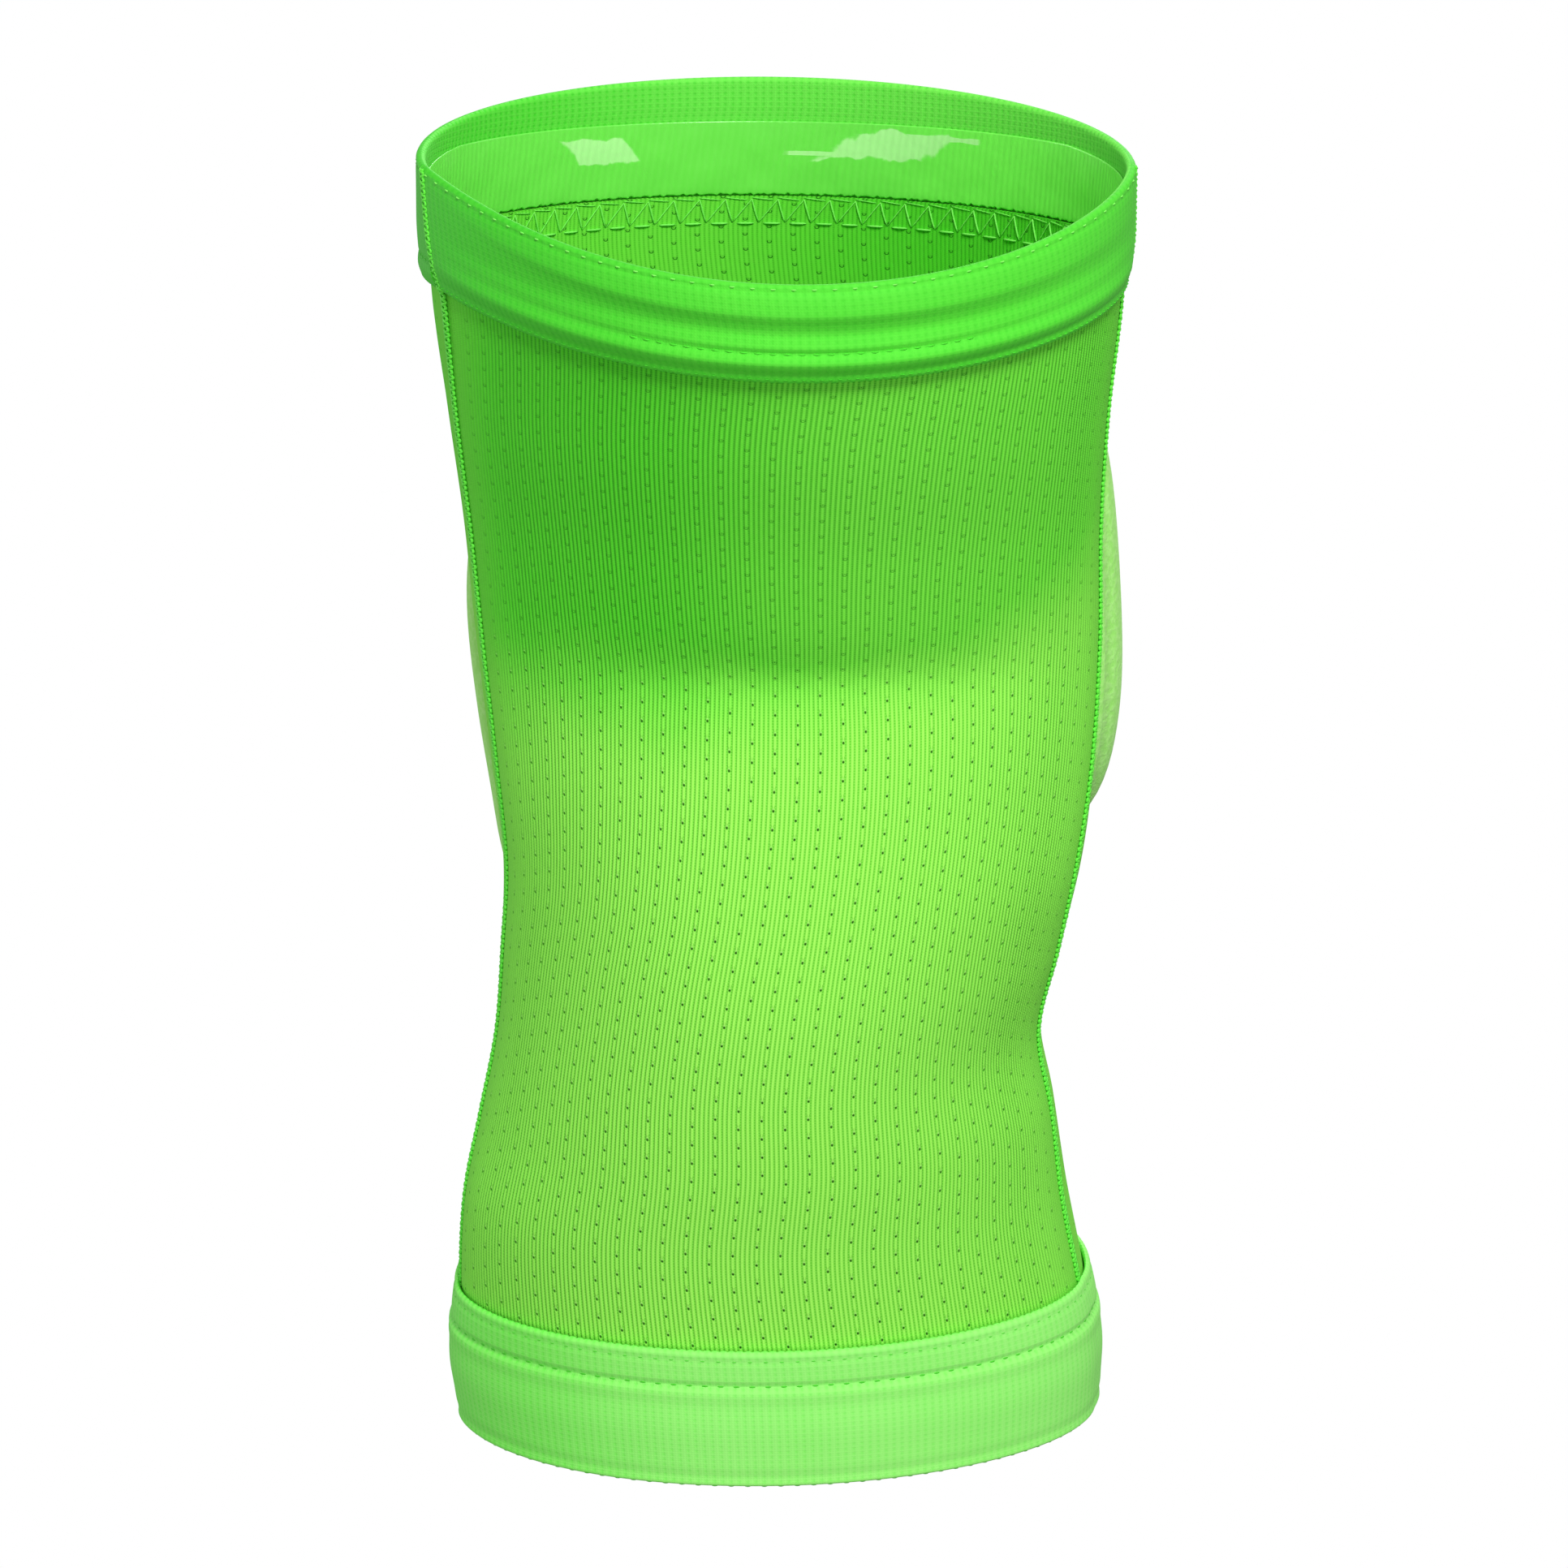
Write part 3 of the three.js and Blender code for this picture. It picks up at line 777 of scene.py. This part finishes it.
def bandPiece(name, half, band, body, surface, materials):
    # A wall between two levels. Its outer face carries the folds and grooves, and one edge is finely toothed.
    columns = ribPoints * round(float(girthAt(half, levels[band["foot"]][0]) / band["ribs"]))
    share = np.linspace(0, 1, columns + 1)[None, :]
    low = levelHeight(band["foot"], half, share)
    tall = levelHeight(band["rim"], half, share) - low
    a, b, f = rimRows(band["rows"], band["thick"] / 2)
    above = a + b * tall
    up = np.clip(above / tall, 0, 1)
    outer = bandFace + band["thick"] + surface(half, share, up)
    inner = bandFace + body(half, share, up)
    tooth = toothDepth * np.abs(np.sin(pi * share * columns / ribPoints))
    atFoot = band["toothedEdge"] == "foot"
    edge = (1 - b if atFoot else b) * (f < 0.999)  # only the rounded rows
    height = low + above + tooth * edge * (-1 if atFoot else 1)
    uv = np.stack([share * columns / ribPoints + 0 * above, above], axis=-1)
    return wallPiece(name, half, share, height, outer, inner, f, uv, materials)


grip = {"height": 15.5, "thick": 0.8, "mostOfRoom": 0.75, "rows": 14, "columns": 320, "ribs": 139,
        "buried": 0.22, "topShare": 0.12}


def gripPiece(half):
    # The silicone strip: a thin wall on the band's inner face, a little wavy, with a ragged lower edge
    share = np.linspace(0, 1, grip["columns"] + 1)[None, :]
    foot = levelHeight("topFoot", half, share)
    bandHeight = levelHeight("topRim", half, share) - foot
    low = thighBand["lap"] + gap
    room = np.minimum(grip["height"], grip["mostOfRoom"] * (bandHeight - low))
    a, b, f = rimRows(grip["rows"], grip["thick"] / 2)
    above = low + a + b * room
    ragged = 0.16 * np.sin(share * 900) + 0.14 * np.sin(share * 517 + 1.3)
    above = above + ragged * (1 - b)
    body = thighBody(half, share, above / bandHeight)
    wave = 0.12 * np.sin(share * 61) * np.sin(above * 0.5 + share * 23)
    outer = knitFace + grip["buried"] + body
    inner = knitFace - grip["thick"] * lerp(1, grip["topShare"], b * b) + body + wave * (1 - b)
    uv = np.stack([share * grip["ribs"] + 0 * above, above - low], axis=-1)
    materials = [finishes["silicone"]]
    return wallPiece("silicone_" + half, half, share, foot + above, outer, inner, f, uv, materials)


# Side seams

def seamLine(side, height):
    # The middle line between the halves, and the directions along the cloth and out from it
    end = 0.0 if side == "left" else 1.0
    back = formAt("back", end + 0 * height, height)
    front = formAt("front", 1 - end + 0 * height, height)
    along = back[..., 2:] + front[..., 2:]
    along = along / np.linalg.norm(along, axis=-1, keepdims=True)
    out = np.stack([along[..., 1], -along[..., 0]], axis=-1)
    return back[..., :2], along, out


def seamOuter(side, height):  # the threads lie on the cloth's edges, and climb over the thigh band
    foot = levels["topFoot"][0 if side == "left" else 1]
    onTop = smooth(height, foot - seam["climb"], foot)
    taper = thighBand["sideTaper"] * np.clip(1 - (height - foot) / seam["taperTall"], 0, 1) ** 2 * onTop
    return lerp(knitFace + seam["proud"], bandFace + thighBand["thick"] - seam["sunk"], onTop) - taper


def seamPoint(side, height, across, out):
    middle, along, outward = seamLine(side, height)
    if side == "left":
        out = out - pressedIn("back", 0, height)
    place = middle + along * across[..., None] + outward * out[..., None]
    return np.concatenate([place, (height - sleeve["kneeHeight"])[..., None]], axis=-1) * mm


tape = {"from": 2, "shortBy": 8, "rows": 267, "sides": 14, "squareness": 0.7}


def seamTape(side):
    # The joined edges of the cloth: a rounded strip that ends inside the bands
    sides = tape["sides"]
    rows = tape["rows"]
    squareness = tape["squareness"]
    height = np.linspace(tape["from"], sleeve["length"] - tape["shortBy"], rows)[:, None]
    height = height + np.zeros((1, sides))
    turn = 2 * pi * np.arange(sides)[None, :] / sides
    outer = knitFace + seam["proud"] + 0 * height
    inner = -knitFace - seam["inside"]
    across = seam["width"] / 2 * np.sign(-np.sin(turn)) * np.abs(np.sin(turn)) ** squareness + 0 * height
    bulge = np.sign(np.cos(turn)) * np.abs(np.cos(turn)) ** squareness
    points = seamPoint(side, height, across, (outer + inner) / 2 + (outer - inner) / 2 * bulge).reshape(-1, 3)
    index = np.arange(rows * sides).reshape(rows, sides)
    caps = np.stack([index[0], index[-1, ::-1]])
    return addPiece("seam_" + side, points, [tubeFaces(index), caps], [finishes["seamTape"]])


loops = {"pitch": 2.2, "swing": 1.1, "thread": 0.31, "behind": 0.5, "ride": 0.24, "crossing": 0.1,
         "dip": 0.22, "inBand": 3, "shortBy": 0.6, "steps": 10}


def seamLoops(side):
    # Overlock threads: two that swing across the tape in turn and cross over each other, once per stitch
    low = levels["bottomFoot"][0] - loops["inBand"]
    steps = int((sleeve["length"] - low) / loops["pitch"] * loops["steps"])
    height = np.linspace(low, sleeve["length"] - loops["shortBy"], steps)
    middle = loops["behind"] if side == "left" else -loops["behind"]
    paths = []
    for phase in (0, 0.5):
        w = height / loops["pitch"] + phase
        swing = np.sin(2 * pi * w)
        over = loops["crossing"] * np.cos(4 * pi * w + pi * phase * 2)
        ride = loops["ride"] + over - loops["dip"] * np.abs(swing) ** 3
        paths.append(seamPoint(side, height, middle + loops["swing"] * swing, seamOuter(side, height) + ride))
    bundles = [(np.array(paths), loops["thread"] * mm)]
    return threadPiece("seam_loops_" + side, bundles, finishes["seamThread"])


# Stitches

def dashes(half, level, above, pitch, length, radius, surface, lift, span=(0, 1)):
    # Short stitches round a half: each dips into the cloth at both ends
    count = int(girthAt(half, levels[level][0]) / pitch)
    share = (np.arange(count)[:, None] + 0.5 + (stitchRun - 0.5) * length / pitch) / count
    middle = share[:, share.shape[1] // 2]
    share = share[(middle > span[0]) & (middle < span[1])]
    foot = levelHeight(level, half, share)
    offset = surface(share) + lift + radius * 1.6 * stitchArch - radius
    taper = radius * (0.45 + 0.55 * stitchArch ** 0.5)
    return onSleeve(half, share, foot + above(share), offset), taper * mm + 0 * share


def thighDashes(half, at, pitch, length, radius, lift, span=(0, 1)):
    # A row of dashes on the thigh band's outer face, at a share of its height
    def above(share):
        return at * (levelHeight("topRim", half, share) - levelHeight("topFoot", half, share))

    def surface(share):
        return bandFace + thighBand["thick"] + thighSurface(half, share, at)

    return dashes(half, "topFoot", above, pitch, length, radius, surface, lift, span)


def thighStitches():
    rows = [
        # half, share of the band's height, pitch, length, radius, lift, span as shares of the way round
        ("back", 0.305, 2.6, 1.7, 0.2, 0.02, (0.3, 0.68)),
        ("back", 0.035, 1.65, 0.9, 0.13, 0.02, (0, 1)),
        ("front", 0.2, 3.0, 1.9, 0.2, 0.02, (0, 1)),
        ("front", 0.94, 3.0, 1.9, 0.2, 0.02, (0, 1)),
    ]
    return threadPiece("thigh_stitches", [thighDashes(*row) for row in rows], finishes["darkThread"])


def rimStitches():
    bundles = [thighDashes("back", 0.955, 3.6, 1.0, 0.16, 0.0)]
    return threadPiece("rim_stitches", bundles, finishes["paleThread"])


def calfStitches():
    rows = [
        # millimetres below the top edge, pitch, length, radius, lift
        (1.9, 3.1, 1.3, 0.11, 0.02),
        (7.6, 3.1, 2.2, 0.2, 0.03),
    ]
    bundles = []
    for half in ("back", "front"):
        for below, pitch, length, radius, lift in rows:
            bundles.append(dashes(
                half, "bottomFoot", lambda share: 0 * share - below, pitch, length, radius,
                lambda share: bandFace + calfBand["thick"] + calfSurface(half, share, 1 - below / calfTall),
                lift))
        # and one on the rounded lower rim
        bundles.append(dashes(
            half, "bottomRim", lambda share: 0.1 + 0 * share, 3.3, 1.6, 0.22,
            lambda share: bandFace + (calfBand["thick"] + calfSurface(half, share, 0)) * 0.55, 0.0))
    return threadPiece("calf_stitches", bundles, finishes["calfThread"])


zigzag = {"tooth": 5.5, "low": 0.5, "high": 5.4, "thin": 0.13, "thick": 0.2, "bar": 0.11, "foot": 0.24,
          "proud": 0.12}


def zigzagPiece(half):
    # Cover stitch inside the thigh band: each tooth is a long thin thread up, a steep thick one down, a bar
    # along the top and a short bright stitch at the foot
    count = int(girthAt(half, levels["topFoot"][0]) / zigzag["tooth"])
    steps = stitchRun
    tooth = np.arange(count)[:, None]
    mid = (zigzag["low"] + zigzag["high"]) / 2
    swing = (zigzag["high"] - zigzag["low"]) / 2
    ride = -knitFace - zigzag["proud"]
    strokes = [
        # how far across, in teeth; height above the band's foot; radius
        (tooth + 0.02 + 0.68 * steps, mid - swing + 2 * swing * steps, zigzag["thin"]),
        (tooth + 0.7 + 0.3 * steps, mid + swing - 2 * swing * steps, zigzag["thick"]),
        (tooth + 0.7 + 0.82 * steps, mid + swing + 0.35 - 0.5 * steps, zigzag["bar"]),
        (tooth + 0.2 + 0.62 * steps, mid - swing - 0.25 + 0 * steps, zigzag["foot"]),
    ]
    bundles = []
    for across, above, radius in strokes:
        share = np.clip((count - across) / count, 0, 1)
        foot = levelHeight("topFoot", half, share)
        taper = radius * (0.5 + 0.5 * stitchArch ** 0.4) + 0 * share
        lift = -radius * 0.9 * stitchArch ** 0.5
        bundles.append((onSleeve(half, share, foot + above + 0 * share, ride + lift + 0 * share), taper * mm))
    return threadPiece("zigzag_" + half, bundles, finishes["paleThread"])


# The cushion over the kneecap

cushion = {"width": 170, "height": 122, "thick": 18, "edge": 4, "drop": 11, "shift": 6, "tilt": 11, "lean": 3,
           "power": 3.0, "clear": 0.65, "wallAt": 0.985, "wall": 0.24, "spokes": 144, "stitches": 150}
# Rings of the sewn edge: share of the way out, and share of the edge's height
sewnEdge = np.array([[0.996, 1.0], [1.0, 0.8], [1.0, 0.4], [0.996, 0.1]])


def onPad(out, offset, turn):
    # Rings of a rounded outline, wrapped onto the front of the knit. Its top edge falls to the left by the
    # tilt, and its sides turn by the lean.
    tilt = math.radians(cushion["tilt"])
    lean = math.radians(cushion["lean"])
    power = cushion["power"]
    reach = out / (np.abs(np.cos(turn)) ** power + np.abs(np.sin(turn)) ** power) ** (1 / power)
    sideways = reach * np.cos(turn) * cushion["width"] / 2
    upwards = reach * np.sin(turn) * cushion["height"] / 2
    height = sleeve["kneeHeight"] - cushion["drop"] + upwards * math.cos(lean) - sideways * math.sin(tilt)
    along = sideways * math.cos(tilt) + upwards * math.sin(lean) - cushion["shift"]
    return onSleeve("front", 0.5 + along / girthAt("front", height), height, offset)


def padCrown(out):
    # The share of the thickness at a share of the way out: a side wall, then a full round crown
    inward = np.clip(1 - (out / cushion["wallAt"]) ** 3.2, 0, 1)
    return cushion["wall"] + (1 - cushion["wall"]) * inward ** 0.5


def padPiece():
    spokes = cushion["spokes"]
    turn = 2 * pi * np.arange(spokes)[None, :] / spokes
    rest = knitFace + cushion["clear"]
    crown = np.concatenate([np.linspace(0.02, 0.8, 20), np.linspace(0.82, 0.985, 24), [0.99]])
    out = np.concatenate([crown, sewnEdge[:, 0]])
    top = np.concatenate([rest + cushion["thick"] * padCrown(crown), rest + cushion["edge"] * sewnEdge[:, 1]])
    under = np.linspace(0.985, 0.02, 14)
    rings = np.concatenate([out, under])[:, None]
    offset = np.concatenate([top, 0 * under + rest])[:, None]
    points = onPad(rings, offset + 0 * turn, turn + 0 * rings).reshape(-1, 3)
    poles = np.concatenate([onPad(np.zeros(1), np.array([rest + cushion["thick"]]), np.zeros(1)),
                            onPad(np.zeros(1), np.array([rest]), np.zeros(1))])
    index = np.arange(len(rings) * spokes).reshape(len(rings), spokes)
    after = np.roll(index, -1, axis=1)
    first = np.stack([np.full(spokes, len(points)), index[0], after[0]], axis=-1)
    last = np.stack([np.full(spokes, len(points) + 1), after[-1], index[-1]], axis=-1)
    faces = [tubeFaces(index), np.concatenate([first, last])]
    return addPiece("knee_cushion", np.concatenate([points, poles]), faces, [finishes["pad"]])


def padStitches():
    # Dashes round the sewn edge, thickest in the middle of each
    count = cushion["stitches"]
    turn = 2 * pi * (np.arange(count)[:, None] + 0.5 + (stitchRun - 0.5) * 0.6) / count
    rest = knitFace + cushion["clear"] + cushion["edge"] * 0.6
    path = onPad(1.0 + 0.004 * stitchArch + 0 * turn, rest + 0 * turn, turn)
    bundles = [(path, (0.1 + 0.14 * stitchArch) * mm + 0 * turn)]
    return threadPiece("cushion_stitches", bundles, finishes["paleThread"])


pieces = {}
insideCloth = finishes["insideElastic"]
for half in ("back", "front"):
    pieces[half + "_panel"] = knitPiece(half)
    pieces["top_band_" + half] = bandPiece("thigh_band_" + half, half, thighBand, thighBody, thighSurface,
                                           [finishes["thighElastic"], insideCloth])
    pieces["bottom_band_" + half] = bandPiece("calf_band_" + half, half, calfBand, flatBody, calfSurface,
                                              [finishes["calfElastic"], insideCloth])
    pieces["grip_strip_" + half] = gripPiece(half)
print("knit, bands and silicone made")

for side in ("left", "right"):
    pieces["side_seam_" + side] = seamTape(side)
pieces["knee_pad"] = padPiece()
trims = {  # by material slot
    "seam_thread": [seamLoops("left"), seamLoops("right")],
    "elastic": [thighStitches(), rimStitches(), calfStitches(), zigzagPiece("back"), zigzagPiece("front")],
    "pad_cover": [padStitches()],
}
print("seams, stitches and cushion made")

for node, piece in pieces.items():
    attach(piece, "root")
    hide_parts(node)
for slot, group in trims.items():
    for piece in group:
        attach(piece, "root")

print("pieces tied to the frame")


# Camera, light and floor

view = {"distance": 1.0, "elevation": 17, "aimHeight": -0.033, "focalPixels": 6000, "frame": 1932,
        "aimPixel": (957, 970), "sensor": 36}

elevation = math.radians(view["elevation"])
camera = bpy.data.objects.new("camera", bpy.data.cameras.new("camera"))
bpy.context.scene.collection.objects.link(camera)
camera.location = (0, -view["distance"] * math.cos(elevation),
                   view["aimHeight"] + view["distance"] * math.sin(elevation))
camera.rotation_euler = (pi / 2 - elevation, 0, 0)
camera.data.sensor_width = view["sensor"]
camera.data.lens = view["sensor"] * view["focalPixels"] / view["frame"]
camera.data.shift_x = (view["frame"] / 2 - view["aimPixel"][0]) / view["frame"]
camera.data.shift_y = (view["aimPixel"][1] - view["frame"] / 2) / view["frame"]
camera.data.clip_start = 0.01
bpy.context.scene.camera = camera

lights = [
    # name, place, what it points at, width, power, colour
    ("key", (0.28, -0.95, 1.1), (0, 0, -0.03), 0.6, 20.4, (1.0, 1.0, 0.98)),
    ("low", (-0.1, -1.3, -0.35), (0, 0, -0.12), 0.7, 5.2, (1.0, 1.0, 1.0)),
    ("leftEdge", (-1.0, 0.6, 0.1), (0, 0, 0), 0.6, 4, (1.0, 1.0, 1.0)),
    ("rightEdge", (1.1, 0.5, 0.2), (0, 0, 0), 0.5, 1.2, (1.0, 1.0, 1.0)),
    ("front", (0.3, 1.3, 0.6), (0, 0, -0.03), 0.7, 9, (1.0, 1.0, 1.0)),
]
for name, place, target, width, power, colour in lights:
    lamp = bpy.data.lights.new(name, "AREA")
    lamp.shape = "DISK"
    lamp.size = width
    lamp.energy = power
    lamp.color = colour
    holder = bpy.data.objects.new(name, lamp)
    bpy.context.scene.collection.objects.link(holder)
    holder.location = place
    aim = np.array(target) - np.array(place)
    holder.rotation_euler = (math.acos(-aim[2] / np.linalg.norm(aim)), 0, math.atan2(aim[1], aim[0]) - pi / 2)

# The world looks white and gives less light than it shows, so that the lamps shape the folds
ambient = 0.36
world = bpy.data.worlds.new("studio")
world.use_nodes = True
sky = world.node_tree.nodes["Background"]
sky.inputs["Strength"].default_value = ambient
backdrop = world.node_tree.nodes.new("ShaderNodeBackground")
ray = world.node_tree.nodes.new("ShaderNodeLightPath")
both = world.node_tree.nodes.new("ShaderNodeMixShader")
for background in (sky, backdrop):
    background.inputs["Color"].default_value = (1, 1, 1, 1)
world.node_tree.links.new(both.inputs[0], ray.outputs["Is Camera Ray"])
world.node_tree.links.new(both.inputs[1], sky.outputs[0])
world.node_tree.links.new(both.inputs[2], backdrop.outputs[0])
world.node_tree.links.new(world.node_tree.nodes["World Output"].inputs["Surface"], both.outputs[0])
bpy.context.scene.world = world
bpy.context.scene.view_settings.view_transform = "Standard"

floorPaint = Finish("pale_floor", Base_Color=(0.0, 0.0, 0.0, 1.0), Roughness=1.0, Specular_IOR_Level=0.0,
                    Emission_Color=(1.0, 1.0, 1.0, 1.0), Emission_Strength=1.0).material
ground = {"reach": 12.0, "below": 0.3}
reach = ground["reach"]
floorHeight = cadBox[0][2] - ground["below"]
corners = reach * np.array([[-1, -1, 0], [1, -1, 0], [1, 1, 0], [-1, 1, 0]]) + (0, 0, floorHeight)
floor = addPiece("floor", corners, [np.array([[0, 1, 2, 3]])], [floorPaint])
floor.visible_diffuse = False  # it is seen, and throws no light up at the piece
floor.visible_glossy = False
print("camera, light and floor made")
